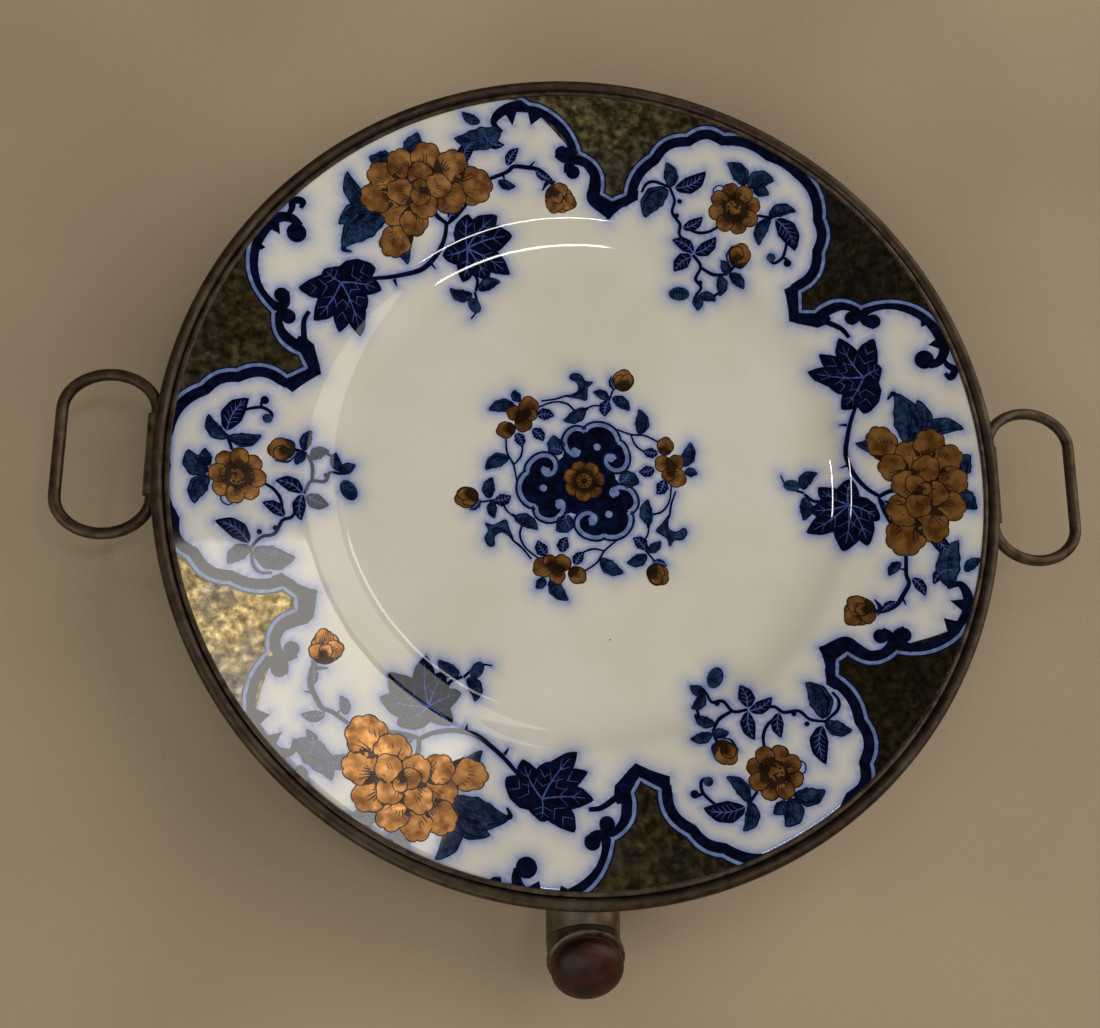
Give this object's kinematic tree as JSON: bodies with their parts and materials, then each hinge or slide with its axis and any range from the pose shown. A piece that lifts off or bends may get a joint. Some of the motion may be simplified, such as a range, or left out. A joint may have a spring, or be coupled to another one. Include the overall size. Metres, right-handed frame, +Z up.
{
  "type": "hot-water plate",
  "caption": "Earthenware dinner plate sealed into a shallow sheet-metal hot-water reservoir with wired rim, two folding loop handles and a screw-stoppered filler spout.",
  "frame": {"origin": "centre of the reservoir's flat underside", "axes": "+Z up, X through the two handles, -Y towards the filler spout"},
  "size_m": [0.3208, 0.2871, 0.04],
  "materials": {
    "glazed_earthenware": "gloss",
    "browned_brass": "dull, browned",
    "tinned_sheet": "dull",
    "iron_wire": "dull",
    "red_lead_putty": "matt",
    "vulcanite": "polished",
    "leather_washer": "matt"
  },
  "bodies": {
    "vessel": {"plate": "glazed_earthenware", "plate_seal": "red_lead_putty", "seat_ring": "tinned_sheet", "retaining_lip": "browned_brass", "rim_band": "browned_brass", "rim_wire": "iron_wire", "reservoir_wall": "browned_brass", "wall_strap": "browned_brass", "reservoir_floor": "browned_brass", "spout_stub": "browned_brass", "spout_mouth": "browned_brass", "mouth_collar": "browned_brass", "handle_clip_left": "browned_brass", "handle_clip_right": "browned_brass"},
    "washer": {"stopper_washer": "leather_washer"},
    "stopper": {"stopper_screw": "browned_brass", "stopper_knob": "vulcanite", "stopper_pin": "browned_brass"},
    "right_handle": {"handle_right": "browned_brass"},
    "left_handle": {"handle_left": "browned_brass"}
  },
  "joints": [
    {"name": "stopper_lift", "type": "slide", "parent": "vessel", "child": "washer", "axis": [0, -0.6428, 0.766], "range_m": [0, 0.0075]},
    {"name": "stopper_turn", "type": "hinge", "parent": "washer", "child": "stopper", "pos_m": [0, -0.14, 0.0175], "axis": [0, -0.6428, 0.766], "range_deg": [0, 1080]},
    {"name": "right_handle_fold", "type": "hinge", "parent": "vessel", "child": "right_handle", "pos_m": [0.131, 0, 0.0328], "axis": [0, -1, 0], "range_deg": [-90, 65]},
    {"name": "left_handle_fold", "type": "hinge", "parent": "vessel", "child": "left_handle", "pos_m": [-0.131, 0, 0.0328], "axis": [0, 1, 0], "range_deg": [-90, 65]}
  ],
  "couplings": [
    {"joint": "stopper_lift", "follows": "stopper_turn", "m_per_rad": 0.00039789}
  ]
}
